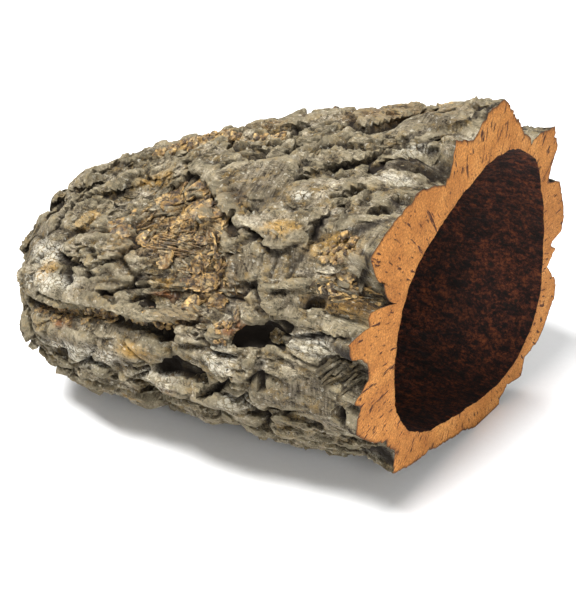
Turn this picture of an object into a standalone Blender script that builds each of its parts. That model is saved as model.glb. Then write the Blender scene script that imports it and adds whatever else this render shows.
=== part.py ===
"""A cork bark tube: the hollow bark of one cork oak limb, in one piece.

It lies along X. The wide mouth at +X is sawn square, and the narrow end at -X is rough and worn.
Lengths in the tables are in millimetres and angles in degrees, turned up from +Y about X.
"""

import math

import bmesh
import bpy
import numpy as np
from mathutils import Vector, noise

MM = 0.001

# Driving dimensions
LENGTH = 220
# The bark's outside at places along the tube: along, half width, half height, and its middle's
# place sideways and height
SECTIONS = (
    (-110, 52, 41, -25, 53),
    (-94, 68, 50, -26, 55),
    (-70, 86, 58, -25, 59),
    (-37, 97, 64, -19, 64),
    (0, 98, 71, -12, 71),
    (37, 98, 76, -7, 76),
    (75, 96, 80, -3, 80),
    (110, 94, 84, 0, 84),
)
# The hollow, in the same way
HOLLOW = (
    (-110, 36, 28, -25, 51),
    (-94, 46, 34, -26, 54),
    (-37, 64, 44, -18, 63),
    (37, 66, 54, -2, 74),
    (110, 70, 63, 6, 79),
)

HOLLOW_UNEVEN = 2.0

# The sawn mouth, as (angle, distance) from a point this high on the tube's middle
MOUTH_MIDDLE = 80
MOUTH_FADE = 48
RIM = (
    (0, 94), (7, 95), (13, 92), (21, 89), (27, 79), (31, 83), (35, 92), (43, 95), (49, 86), (54, 79),
    (63, 79), (73, 86), (82, 93), (91, 90), (98, 81), (104, 86), (108, 90), (112, 75), (117, 77),
    (122, 84), (127, 90), (134, 94), (141, 99), (147, 103), (151, 94), (155, 82), (157.5, 70), (160, 92),
    (163, 89), (166, 103), (170, 97), (174, 86), (179, 84), (183, 94), (188, 92), (193, 94), (200, 88),
    (209, 79), (218, 77), (224, 85), (231, 81), (239, 76), (248, 72), (260, 71), (272, 73), (281, 79),
    (290, 87), (298, 88), (305, 85), (312, 98), (317, 91), (325, 102), (331, 102), (338, 104),
    (344, 99), (350, 83), (355, 90), (358, 83),
)
BORE = (
    (0, 73), (15, 71), (31, 71), (43, 74), (60, 72), (75, 69), (90, 65), (103, 61), (120, 60), (135, 63),
    (150, 65), (178, 64), (200, 66), (220, 66), (234, 63), (250, 59), (266, 59), (280, 62), (294, 69),
    (306, 77), (317, 82), (330, 84), (340, 82), (350, 76),
)

# Lengthwise ridges and furrows: how long and how wide one is, and how far they stand out
RIDGE_LONG = 62
RIDGE_WIDE = 21
RIDGE_HIGH = 5.0
# The weathered plates between the cracks: their size, how unevenly they lie, and the cracks' depth
PLATE_LONG = 34
PLATE_WIDE = 22
PLATE_BEND = 0.35
PLATE_BEND_LONG = 18
PLATE_STEP = 2.6
PLATE_TILT = 1.2
CRACK_DEEP = 4.5
CRACK_SHARE = 0.2

# Single forms: name, half width, height (minus is a hollow), and (along, angle) places that it follows
FORMS = (
    ("log ridge", 9, 5.0, ((-72, 160), (-46, 164), (-13, 166), (14, 168))),
    ("fissure under the log ridge", 5, -9.0, ((-60, 169), (-12, 173), (8, 176), (22, 175))),
    ("flaky valley", 17, -7.0, ((-32, 122), (-3, 136), (14, 148), (30, 155), (44, 159))),
    ("deep pocket in the valley", 6, -7.0, ((6, 165), (28, 161))),
    ("lip plate", 12, 5.0, ((34, 122), (52, 131), (72, 132), (96, 126))),
    ("plate over the valley", 9, 4.0, ((-8, 108), (12, 116), (26, 128))),
    ("hole by the mouth", 6, -13.0, ((62, 170), (70, 170), (77, 168))),
    ("crack above the hole", 4, -6.0, ((59, 156), (63, 162), (68, 166))),
    ("furrow from the hole to the mouth", 4, -5.0, ((77, 169), (110, 169))),
    ("small hole", 3.5, -8.0, ((84, 160), (91, 159))),
    ("gap behind the notch", 6, -7.0, ((92, 159), (110, 157))),
    ("upper log by the mouth", 7, 4.0, ((62, 152), (82, 154), (96, 151))),
    ("middle log by the mouth", 6, 3.0, ((80, 165), (110, 165))),
    ("gap under the top plates", 4.5, -9.0, ((84, 117), (96, 115), (110, 113))),
    ("round arch below", 6, -6.0, ((18, 188), (34, 189))),
    ("grey roll below", 8, 4.0, ((20, 197), (40, 197))),
    ("splinter pocket", 7, -5.0, ((98, 176), (110, 179))),
    ("knob on the far end", 11, 5.0, ((-86, 112), (-76, 108))),
    ("top ridge", 9, 3.0, ((-40, 96), (10, 88), (50, 84))),
    ("back ridge", 9, 5.0, ((-80, 52), (-10, 46), (60, 52))),
    ("back furrow", 6, -7.0, ((-60, 30), (0, 26), (50, 33))),
    ("back log", 10, 5.0, ((-40, 8), (30, 6), (80, 12))),
    ("low back furrow", 6, -6.0, ((-50, -14), (20, -18), (90, -10))),
)

# The spot it rests on, worn flat
REST_ALONG = 6
REST_ANGLE = 264
REST_LONG = 40
REST_WIDE = 26
WORN = 2.0

# How finely the shape is cut
STEPS_AROUND = 116
OUTSIDE_ROWS = 34
INSIDE_ROWS = 10
FACE_ROWS = 3
INNER_RING = 1.0
OUTER_RING = 2.0


def clear_scene():
    for old in list(bpy.data.objects):
        bpy.data.objects.remove(old, do_unlink=True)


def through(table, along):
    """The table's other columns at a place along the tube, on a smooth curve through its rows."""
    rows = np.array(table, float)
    places, values = rows[:, 0], rows[:, 1:]
    slopes = np.gradient(values, places, axis=0)
    at = float(np.clip(along, places[0], places[-1]))
    low = min(int(np.searchsorted(places, at, side="right")) - 1, len(places) - 2)
    gap = places[low + 1] - places[low]
    t = (at - places[low]) / gap
    start = (1 + 2 * t) * (1 - t) ** 2 * values[low] + t * (1 - t) ** 2 * gap * slopes[low]
    end = t * t * (3 - 2 * t) * values[low + 1] - t * t * (1 - t) * gap * slopes[low + 1]
    return start + end


def outline(points, angle):
    """The distance that a (degrees, distance) outline has at this angle, going once round."""
    degrees, distances = zip(*points)
    return float(np.interp(math.degrees(angle), degrees, distances, period=360))


def ease(value):
    """0 below 0, 1 above 1 and a smooth step between."""
    t = min(max(value, 0.0), 1.0)
    return t * t * (3 - 2 * t)


def distance_to_path(along, degrees, path, girth):
    """How far a place on the bark lies from a path over it, in millimetres."""
    nearest = math.inf
    for (x0, a0), (x1, a1) in zip(path, path[1:]):
        dx, dy = x1 - x0, (a1 - a0) * girth
        px, py = along - x0, ((degrees - a0 + 180) % 360 - 180) * girth
        t = min(max((px * dx + py * dy) / (dx * dx + dy * dy), 0.0), 1.0)
        nearest = min(nearest, math.hypot(px - t * dx, py - t * dy))
    return nearest


def ridges(along, angle, radius):
    """Long ridges with narrow furrows between them, from -1 to 1."""
    across, up = radius * math.cos(angle), radius * math.sin(angle)
    place = Vector((along / RIDGE_LONG, across / RIDGE_WIDE, up / RIDGE_WIDE))
    coarse = 1 - 2.2 * abs(noise.noise(place))
    fine = noise.noise(place * 2.1 + Vector((7.0, 3.0, 1.0)))
    return 0.75 * coarse + 0.5 * fine


def plates(along, angle, radius):
    """The plate that a place is on: its own height from -1 to 1, and how deep in a crack it lies from 0 to 1."""
    across, up = radius * math.cos(angle), radius * math.sin(angle)
    bend = PLATE_BEND * noise.noise(Vector((along, across, up)) / PLATE_BEND_LONG)
    place = Vector((along / PLATE_LONG + bend, across / PLATE_WIDE + bend, up / PLATE_WIDE - bend))
    distances, centres = noise.voronoi(place)
    tilt = PLATE_TILT * (place.x - centres[0].x)
    height = noise.noise(centres[0] * 5.3) + tilt
    crack = 1 - ease((distances[1] - distances[0]) / CRACK_SHARE)
    return height, crack


def rest_share(along, degrees, girth):
    """1 on the worn spot underneath and 0 away from it."""
    across = ((degrees - REST_ANGLE + 180) % 360 - 180) * girth
    reach = math.hypot((along - REST_ALONG) / REST_LONG, across / REST_WIDE)
    return 1 - ease((reach - 0.7) / 0.5)


def relief(along, angle, radius):
    """How far the bark stands out from its plain section, in millimetres."""
    degrees = math.degrees(angle)
    girth = math.radians(1) * radius
    height, crack = plates(along, angle, radius)
    lift = RIDGE_HIGH * ridges(along, angle, radius) + PLATE_STEP * height - CRACK_DEEP * crack
    for _, half_width, out, path in FORMS:
        reach = distance_to_path(along, degrees, path, girth)
        share = 1 - ease((reach / half_width - 0.35) / 0.9)
        lift += share * (out - 0.6 * lift)
    return lift * (1 - rest_share(along, degrees, girth))


def outside(along, angle):
    """The point of the bark's outside at a place along the tube and an angle round it."""
    half_width, half_height, sideways, middle = through(SECTIONS, along)
    radius = (half_width + half_height) / 2
    lift = relief(along, angle, radius)
    body = Vector((
        along,
        sideways + (half_width + lift) * math.cos(angle),
        middle + (half_height + lift) * math.sin(angle),
    ))
    rim = outline(RIM, angle)
    mouth = Vector((along, rim * math.cos(angle), MOUTH_MIDDLE + rim * math.sin(angle)))
    return body.lerp(mouth, ease((along - LENGTH / 2) / MOUTH_FADE + 1))


def inside(along, angle):
    """The point of the hollow's wall at a place along the tube and an angle round it."""
    half_width, half_height, sideways, middle = through(HOLLOW, along)
    place = Vector((along / 30, math.cos(angle) * 2.2, math.sin(angle) * 2.2))
    lift = HOLLOW_UNEVEN * noise.noise(place)
    body = Vector((
        along,
        sideways + (half_width + lift) * math.cos(angle),
        middle + (half_height + lift) * math.sin(angle),
    ))
    bore = outline(BORE, angle)
    mouth = Vector((along, bore * math.cos(angle), MOUTH_MIDDLE + bore * math.sin(angle)))
    return body.lerp(mouth, ease((along - LENGTH / 2) / MOUTH_FADE + 1))


def wall_profile(bm):
    """A closed loop round the wall in the XZ plane: the inside on one ring and the outside on another."""
    half = LENGTH / 2
    faces = np.linspace(INNER_RING, OUTER_RING, FACE_ROWS + 1)[:-1]
    outer = np.linspace(-half, half, OUTSIDE_ROWS + 1)[:-1]
    inner = np.linspace(half, -half, INSIDE_ROWS + 1)[:-1]
    loop = [(-half, ring) for ring in faces]
    loop += [(along, OUTER_RING) for along in outer]
    loop += [(half, OUTER_RING + INNER_RING - ring) for ring in faces]
    loop += [(along, INNER_RING) for along in inner]
    verts = [bm.verts.new((along, 0.0, ring)) for along, ring in loop]
    edges = [bm.edges.new(pair) for pair in zip(verts, verts[1:] + verts[:1])]
    return verts + edges


def shaped(place):
    """Where a point of the plain turned tube goes on the real one, in metres."""
    angle = math.atan2(place.z, place.y) % math.tau
    wall = math.hypot(place.y, place.z) - INNER_RING
    point = inside(place.x, angle).lerp(outside(place.x, angle), wall)
    point.z = max(point.z - WORN, 0.0)
    return point * MM


def bark_material():
    material = bpy.data.materials.new("weathered cork bark")
    material.use_nodes = True
    shader = material.node_tree.nodes["Principled BSDF"]
    shader.inputs["Base Color"].default_value = (0.27, 0.24, 0.18, 1.0)
    shader.inputs["Roughness"].default_value = 0.9
    shader.inputs["Metallic"].default_value = 0.0
    return material


def cork_bark_tube():
    bm = bmesh.new()
    bmesh.ops.spin(
        bm,
        geom=wall_profile(bm),
        cent=(0, 0, 0),
        axis=(1, 0, 0),
        angle=math.tau,
        steps=STEPS_AROUND,
        use_merge=True,
    )
    for vert in bm.verts:
        vert.co = shaped(vert.co)
    middle = sum(extreme(vert.co.y for vert in bm.verts) for extreme in (min, max)) / 2
    bmesh.ops.translate(bm, verts=bm.verts, vec=(0, -middle, 0))
    bmesh.ops.triangulate(bm, faces=bm.faces)
    bmesh.ops.recalc_face_normals(bm, faces=bm.faces)
    mesh = bpy.data.meshes.new("cork_bark_tube")
    bm.to_mesh(mesh)
    bm.free()
    mesh.materials.append(bark_material())
    tube = bpy.data.objects.new("cork_bark_tube", mesh)
    bpy.context.scene.collection.objects.link(tube)
    return tube


clear_scene()
cork_bark_tube()
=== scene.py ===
"""The looks of a cork bark tube: rugged grey bark, a sawn orange mouth and a dark inner wall.

Lengths in the tables are in millimetres. Angles are in degrees, turned up from +Y about the tube's X axis.
"""

import collections
import functools
import math

import bmesh
import bpy
import numpy as np
from mathutils import Matrix, Vector, noise


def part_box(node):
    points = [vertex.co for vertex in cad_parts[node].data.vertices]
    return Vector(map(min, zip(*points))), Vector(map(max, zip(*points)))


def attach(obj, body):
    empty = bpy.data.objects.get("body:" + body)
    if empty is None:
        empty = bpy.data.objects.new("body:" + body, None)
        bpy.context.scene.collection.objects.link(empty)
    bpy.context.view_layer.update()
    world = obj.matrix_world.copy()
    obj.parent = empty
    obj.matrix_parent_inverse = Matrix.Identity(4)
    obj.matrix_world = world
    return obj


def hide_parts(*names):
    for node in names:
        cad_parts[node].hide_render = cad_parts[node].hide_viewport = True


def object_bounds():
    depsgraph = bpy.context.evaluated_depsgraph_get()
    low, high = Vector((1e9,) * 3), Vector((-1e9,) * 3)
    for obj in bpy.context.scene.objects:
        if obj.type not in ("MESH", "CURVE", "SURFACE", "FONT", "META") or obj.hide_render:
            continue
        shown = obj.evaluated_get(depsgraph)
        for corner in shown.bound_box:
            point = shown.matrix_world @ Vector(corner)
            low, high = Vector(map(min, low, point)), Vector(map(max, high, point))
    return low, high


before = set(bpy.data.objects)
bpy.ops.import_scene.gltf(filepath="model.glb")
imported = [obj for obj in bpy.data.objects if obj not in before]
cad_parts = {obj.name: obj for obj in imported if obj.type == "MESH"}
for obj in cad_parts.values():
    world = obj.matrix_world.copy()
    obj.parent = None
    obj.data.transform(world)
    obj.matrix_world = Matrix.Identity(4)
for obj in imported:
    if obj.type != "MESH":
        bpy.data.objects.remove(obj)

bl_info = {
    "name": "Cork bark tube",
    "version": (1, 0, 0),
    "blender": (4, 5, 0),
    "location": "3D View > Sidebar > Cork bark",
    "description": "Dresses a hollow cork bark tube with relief, flakes, fibres and a sawn mouth",
    "category": "Object",
}

CAD_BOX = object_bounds()
TUBE_LOW, TUBE_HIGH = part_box("cork_bark_tube")
MM = 0.001
LENGTH = (TUBE_HIGH[0] - TUBE_LOW[0]) / MM
HALF = LENGTH / 2
CAD_LOW = np.array(CAD_BOX[0]) / MM
CAD_HIGH = np.array(CAD_BOX[1]) / MM
# The solid is centred on its box and sunk until its worn spot lies on the ground. The tables are not.
SIDEWAYS = 11.2
WORN = 2.0

# The bark's outside at places along the tube: along, half width, half height, and its middle's
# place sideways and height
SECTIONS = (
    (-110, 52, 41, -25, 53),
    (-94, 68, 50, -26, 55),
    (-70, 86, 58, -25, 59),
    (-37, 97, 64, -19, 64),
    (0, 98, 71, -12, 71),
    (37, 98, 76, -7, 76),
    (75, 96, 80, -3, 80),
    (110, 94, 84, 0, 84),
)
# The hollow, in the same way
HOLLOW = (
    (-110, 36, 28, -25, 51),
    (-94, 46, 34, -26, 54),
    (-37, 64, 44, -18, 63),
    (37, 66, 54, -2, 74),
    (110, 70, 63, 6, 79),
)

# The sawn mouth, as (angle, distance) from a point this high on the tube's middle
MOUTH_MIDDLE = 80
MOUTH_FADE = 48
# The narrow notches reach back this far, and the plain outline behind them averages these turns
NOTCH_FADE = 24
PLAIN_TURNS = (-12, -8, -4, 0, 4, 8, 12)
RIM = (
    (0, 94), (7, 95), (13, 92), (21, 89), (27, 79), (31, 83), (35, 92), (43, 95), (49, 86), (54, 79),
    (63, 79), (73, 86), (82, 93), (91, 90), (98, 81), (104, 86), (108, 90), (112, 75), (117, 77),
    (122, 84), (127, 90), (134, 94), (141, 99), (147, 103), (151, 94), (155, 82), (157.5, 70), (160, 92),
    (163, 89), (166, 103), (170, 97), (174, 86), (179, 84), (183, 94), (188, 92), (193, 94), (200, 88),
    (209, 79), (218, 77), (224, 85), (231, 81), (239, 76), (248, 72), (260, 71), (272, 73), (281, 79),
    (290, 87), (298, 88), (305, 85), (312, 98), (317, 91), (325, 102), (331, 102), (338, 104),
    (344, 99), (350, 83), (355, 90), (358, 83),
)
BORE = (
    (0, 73), (15, 71), (31, 71), (43, 74), (60, 72), (75, 69), (90, 65), (103, 61), (120, 60), (135, 63),
    (150, 65), (178, 64), (200, 66), (220, 66), (234, 63), (250, 59), (266, 59), (280, 62), (294, 69),
    (306, 77), (317, 82), (330, 84), (340, 82), (350, 76),
)

# Lengthwise ridges and furrows: how long and how wide one is, and how far they stand out
RIDGE_LONG = 62
RIDGE_WIDE = 21
RIDGE_HIGH = 5.0
# How sharp their crests are. Finer ones lie over them: how much finer, taken from where, and the two shares
RIDGE_SHARP = 2.2
RIDGE_FINER = 2.1
RIDGE_ELSEWHERE = (7.0, 3.0, 1.0)
RIDGE_SHARES = (0.75, 0.5)
# The weathered plates between the cracks: how long and wide one is, and how unevenly they lie
PLATE_LONG = 34
PLATE_WIDE = 22
PLATE_BEND = 0.35
PLATE_BEND_LONG = 18
PLATE_STEP = 2.6
PLATE_TILT = 1.2
CRACK_DEEP = 4.5
CRACK_SHARE = 0.2
# The bark's thin layers, which break off in steps
LAYER = 1.9
# Rubble fills the deepest hollows: below this depth only this share of the depth stays open
CAVE_FROM = -6.0
CAVE_KEEP = 0.45

# A single form is whole up to this share of its half width and fades over the next. It levels what it covers.
FORM_WHOLE = 0.35
FORM_FADE = 0.9
FORM_LEVELS = 0.6
# Single forms: name, half width, height (minus is a hollow), and (along, angle) places that it follows
FORMS = (
    ("log ridge", 9, 5.0, ((-72, 160), (-46, 164), (-13, 166), (14, 168))),
    ("fissure under the log ridge", 5, -9.0, ((-60, 169), (-12, 173), (8, 176), (22, 175))),
    ("flaky valley", 17, -7.0, ((-32, 122), (-3, 136), (14, 148), (30, 155), (44, 159))),
    ("deep pocket in the valley", 6, -7.0, ((6, 165), (28, 161))),
    ("lip plate", 12, 5.0, ((34, 122), (52, 131), (72, 132), (96, 126))),
    ("plate over the valley", 9, 4.0, ((-8, 108), (12, 116), (26, 128))),
    ("hole by the mouth", 6, -13.0, ((62, 170), (70, 170), (77, 168))),
    ("crack above the hole", 4, -6.0, ((59, 156), (63, 162), (68, 166))),
    ("furrow from the hole to the mouth", 4, -5.0, ((77, 169), (110, 169))),
    ("small hole", 3.5, -8.0, ((84, 160), (91, 159))),
    ("gap behind the notch", 6, -7.0, ((92, 159), (110, 157))),
    ("upper log by the mouth", 7, 4.0, ((62, 152), (82, 154), (96, 151))),
    ("middle log by the mouth", 6, 3.0, ((80, 165), (110, 165))),
    ("gap under the top plates", 4.5, -9.0, ((84, 117), (96, 115), (110, 113))),
    ("round arch below", 6, -6.0, ((18, 188), (34, 189))),
    ("grey roll below", 8, 4.0, ((20, 197), (40, 197))),
    ("splinter pocket", 7, -5.0, ((98, 176), (110, 179))),
    ("knob on the far end", 11, 5.0, ((-86, 112), (-76, 108))),
    ("top ridge", 9, 3.0, ((-40, 96), (10, 88), (50, 84))),
    ("back ridge", 9, 5.0, ((-80, 52), (-10, 46), (60, 52))),
    ("back furrow", 6, -7.0, ((-60, 30), (0, 26), (50, 33))),
    ("back log", 10, 5.0, ((-40, 8), (30, 6), (80, 12))),
    ("low back furrow", 6, -6.0, ((-50, -14), (20, -18), (90, -10))),
)

# Smaller forms, which only the looks have: plain places, rubble that fills hollows, steps, cracks and pits
DETAILS = (
    ("plain lower log", 12, 1.8, ((-52, 182), (6, 184))),
    ("plain far side", 13, 0.8, ((-84, 142), (-58, 143))),
    ("plain plate by the upper mouth", 9, 1.8, ((84, 98), (106, 98))),
    ("plain plate by the lower mouth", 12, 1.2, ((72, 189), (98, 190))),
    ("plain plate behind the lip", 10, 2.4, ((36, 126), (68, 127))),
    ("plain plate over the valley", 8, 2.2, ((-4, 110), (22, 118))),
    ("rubble under the log ridge", 4.5, -1.2, ((-60, 170), (-12, 175), (4, 178))),
    ("rubble in the furrow by the mouth", 5.5, 0.2, ((81, 170), (110, 169))),
    ("heart of the hole by the mouth", 4.8, -8.0, ((58, 172), (67, 171))),
    ("worn lower corner of the far end", 16, -5.0, ((-112, 197), (-92, 200))),
    ("dark under the slats", 5.5, -2.6, ((97, 177), (106, 179))),
    ("dark joint under the log", 1.3, -3.4, ((72, 172), (90, 169), (108, 165))),
    ("rubble behind the notch", 7, -0.4, ((80, 160.5), (110, 158))),
    ("what stays open of the small hole", 2.2, -7, ((85, 160.5), (88, 160))),
    ("rubble under the top plates", 4, -0.8, ((88, 117), (110, 113))),
    ("lower edge of the log ridge", 3.2, 2.6, ((-60, 163), (-37, 162), (-6, 166), (10, 168.5))),
    ("step under the log ridge", 2.2, -4.0, ((-50, 163), (-37, 165), (-4, 169), (11, 172))),
    ("slit in the log ridge", 1.6, -4.0, ((-14, 161), (-5, 164))),
    ("lip edge", 3.4, 3.6, ((40, 136.5), (56, 138), (71, 137))),
    ("facet under the lip", 8.5, -0.8, ((44, 150), (78, 149))),
    ("diagonal step over the valley", 2.8, 3.4, ((-6, 114), (14, 122), (26, 129), (40, 136))),
    ("drop beside the diagonal step", 2.6, -4.2, ((2, 121), (16, 128), (28, 135), (40, 141))),
    ("first crack in the facet", 0.8, -1.6, ((57.5, 147), (59, 155))),
    ("second crack in the facet", 0.8, -1.4, ((64, 147), (65, 152))),
    ("third crack in the facet", 0.8, -1.6, ((71, 147), (74, 153))),
    ("dark joint behind the lip", 1.4, -2.2, ((35, 134), (36, 137))),
    ("pit behind the lip", 2.8, -3.6, ((57, 122), (61, 121))),
    ("pit over the lip", 3.0, -3.6, ((82, 129), (86, 128))),
    ("round hole by the mouth", 2.8, -5.0, ((106, 130), (108, 130))),
    ("slot by the mouth", 2.2, -4.0, ((98, 135), (103, 134))),
    ("crack over the plates", 1.6, -3.4, ((66, 118), (74, 115))),
    ("crack at the valley's head", 2.4, -4.0, ((12, 117), (22, 113))),
    ("crack on top", 1.8, -3.4, ((-12, 93), (-2, 90))),
    ("pit on top", 2.6, -4.2, ((22, 94), (24, 97))),
    ("bowl in the valley", 3.4, -3.0, ((-6, 119), (2, 120))),
    ("second bowl in the valley", 3.4, -3.0, ((8, 130), (13, 128))),
    ("hollow in the pocket", 3.2, -5.0, ((8, 166), (14, 164))),
    ("hole under the log ridge", 3.4, -5.0, ((10, 172), (18, 171))),
    ("arch roof", 2.6, -5.0, ((19, 188), (25, 187), (32, 188))),
    ("dark wedge below", 2.6, -5.0, ((38, 196), (46, 191), (54, 187))),
    ("slit below the hole", 1.6, -3.6, ((68, 183), (68, 188))),
    ("slit below the slats", 1.8, -4.0, ((102, 188), (103, 194))),
    ("hole below the slats", 3.0, -5.0, ((108, 186), (110, 186))),
    ("striped knot", 5.0, 1.6, ((-37, 134), (-35, 139))),
    ("crack beside the striped knot", 1.6, -3.0, ((-38, 130), (-30, 134))),
    ("pit in the far knob", 3.0, -4.0, ((-73, 109), (-70, 107))),
    ("crack over the far log", 1.8, -3.4, ((-28, 154), (-22, 155))),
)

# The spot it rests on, worn flat
REST_ALONG = 6
REST_ANGLE = 264
REST_LONG = 40
REST_WIDE = 26
REST_FLAT = 0.7
REST_FADE = 0.5
# No scale lies within so many degrees of it
REST_BARE = 24

# The far end is broken back here: the angle, how far round at most and at all, how far back, and from where
BROKEN_ANGLE = 208
BROKEN_FULL = 8
BROKEN_FADE = 36
BROKEN_BACK = 17
BROKEN_FROM = -62

# Fine relief that only the looks have: how long and wide one form of it is
RAGGED = (11, 8)
CALM = (40, 22)
SWELL = (24, 9)
CHIP = (21, 10)
CRUMB = (9, 3)
CLEFT = (9, 2.4)
SMALL_PLATE = (11, 6)
STRATUM = (26, 3.6)
SLIT = (2.6, 11)
SLIT_GROUP = 18
FIBRE = (7.0, 1.8)
# How high or deep it is. What has two values takes the second only where the bark is rough.
SWELL_HIGH = 1.5
CHIP_HIGH = 2.0
CHIP_TILT = 1.3
CRUMB_HIGH = (0.12, 0.3)
CRUMB_TILT = 1.2
CLEFT_DEEP = (0.9, 1.5)
SMALL_PLATE_HIGH = 0.6
SMALL_PLATE_TILT = 0.9
GAP_DEEP = 0.7
GAP_SHARE = 0.2
STRATUM_HIGH = 0.6
SLIT_DEEP = 0.9
FIBRE_HIGH = 0.3
# How much of the roughness is lost on smooth plates, in calm places and at the far end, and what amber keeps
SMOOTH_LOSS = 0.85
CALM_LOSS = 0.5
FAR_END_LOSS = 0.4
FAR_END_FROM = -70
FAR_END_FADE = 30
AMBER_ROUGH = 0.9
# A broken layer slopes so little over most of its width, and drops over the rest
TREAD_SLOPE = 0.3
DROP_FROM = 0.78
DROP_WIDE = 0.22
# Half of the fine relief goes within this distance of the saw
SAW_REACH = 10
SAW_LOSS = 0.5
# What stands out leans over what lies beside it: how far, and from what height and slope in full
OVERHANG = 1.3
OVERHANG_HIGH = 1.2
OVERHANG_SLOPE = 1.2
# Over how many cells of the grid the bark is softened for its normals, slopes, cavities and worn edges, and
# to lay the loose pieces on
NORMAL_BLUR = 3.0
SLOPE_BLUR = 2.0
CAVITY_BLUR = 4.0
EDGE_BLUR = 1.8
LAID_BLUR = 1.6
LAID_NORMAL_BLUR = 4.0
# A cavity gets painted shade from this depth on and over the next, less so in ochre, and an edge pales over
# this height
CAVITY_FROM = 0.3
CAVITY_FADE = 2.5
OCHRE_LIGHTS = 0.75
EDGE_FADE = 0.9

# The hollow's wall: the radius that its patterns are drawn on, and its broad waves, grain and fibres
HOLLOW_RADIUS = 62
HOLLOW_WAVE_LONG = 30
HOLLOW_WAVE_TURNS = 2.2
HOLLOW_WAVE_HIGH = 2.0
HOLLOW_GRAIN = (16, 5)
HOLLOW_GRAIN_HIGH = 0.8
HOLLOW_FIBRE = (7, 1.6)
HOLLOW_FIBRE_HIGH = 0.35
# The hole's sawn edge is frayed in two sizes: how long one is and how far it goes
FRAYS = ((2.2, 0.6), (7, 0.9))
# The far end's broken face
FAR_FACE_HIGH = 2.2
FAR_FACE_GRAIN = (9, 9)
# The sawn wall's pattern is drawn on this radius, and the dark skin under the hollow is this thick
GROWTH_RADIUS = 80
SKIN = 10

# How finely the body is cut
AROUND = 464
OUTSIDE_ROWS = 184
INSIDE_ROWS = 22
FACE_ROWS = 4
INNER_RING = 1.0
OUTER_RING = 2.0

# Where the colours differ: kind, half length, half width, and (along, angle) of the middle
PATCHES = (
    ("smooth", 22, 15, (48, 124)),
    ("smooth", 20, 9, (62, 145)),
    ("smooth", 18, 12, (92, 98)),
    ("smooth", 22, 11, (98, 143)),
    ("smooth", 26, 20, (88, 190)),
    ("smooth", 40, 9, (-32, 160)),
    ("smooth", 18, 14, (34, 197)),
    ("smooth", 24, 14, (92, 166)),
    ("smooth", 40, 15, (-26, 183)),
    ("smooth", 22, 12, (-70, 140)),
    ("smooth", 30, 9, (-62, 172)),
    ("smooth", 22, 8, (62, 149)),
    ("amber", 34, 17, (2, 134)),
    ("amber", 20, 14, (32, 156)),
    ("amber", 9, 7, (15, 163)),
    ("amber", 9, 5, (94, 155)),
    ("amber", 14, 5, (100, 158)),
    ("ochre", 13, 3.5, (98, 160)),
    ("ochre", 24, 4, (-26, 98)),
    ("ochre", 12, 5, (12, 100)),
    ("ochre", 11, 3, (62, 139)),
    ("ochre", 7, 7, (-46, 133)),
    ("ochre", 6, 6, (-52, 154)),
    ("ochre", 14, 6, (90, 145)),
    ("ochre", 9, 4, (5, 183)),
    ("ochre", 8, 4, (12, 158)),
    ("ochre", 12, 5, (-30, 114)),
    ("brown", 34, 8, (72, 88)),
    ("brown", 20, 6, (4, 88)),
    ("brown", 12, 5, (28, 168)),
    ("brown", 30, 15, (8, 140)),
    ("brown", 5, 5, (20, 195)),
    ("rust", 6, 5, (54, 169)),
    ("rust", 6, 3, (95, 157)),
    ("rust", 7, 3, (13, 162)),
    ("rust", 5, 3, (-37, 175)),
    ("lichen", 12, 6, (-24, 191)),
    ("lichen", 12, 5, (14, 193)),
    ("lichen", 10, 7, (50, 179)),
    ("lichen", 10, 6, (54, 197)),
    ("lichen", 14, 6, (88, 171)),
    ("lichen", 8, 4, (92, 110)),
    ("lichen", 8, 4, (96, 123)),
    ("lichen", 14, 7, (-62, 147)),
    ("lichen", 22, 6, (-46, 158)),
    ("lichen", 26, 8, (-30, 187)),
    ("lichen", 4, 2.5, (63, 129)),
    ("lichen", 6, 4, (48, 168)),
)
PATCH_KINDS = ("smooth", "amber", "ochre", "brown", "rust", "lichen")
# A patch is whole up to this share of its reach and fades over the next, with an edge as ragged as this
PATCH_WHOLE = 0.6
PATCH_FADE = 0.6
PATCH_RAGGED = 0.35
# The photograph shows the bark so many degrees to either side of this angle
SEEN_ANGLE = 150
SEEN_REACH = 62
SEEN_FADE = 16
# Patches beyond that follow a pattern: kind, where it is taken, how long and wide a spot is, the end of the
# pattern's values that counts, and from which value on
UNSEEN_PATCHES = (
    ("smooth", 300, 34, 22, 1, 0.12),
    ("amber", 300, 34, 22, -1, 0.4),
    ("lichen", 700, 24, 16, 1, 0.35),
    ("ochre", 500, 18, 10, 1, 0.42),
)
UNSEEN_FADE = 0.2

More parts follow.
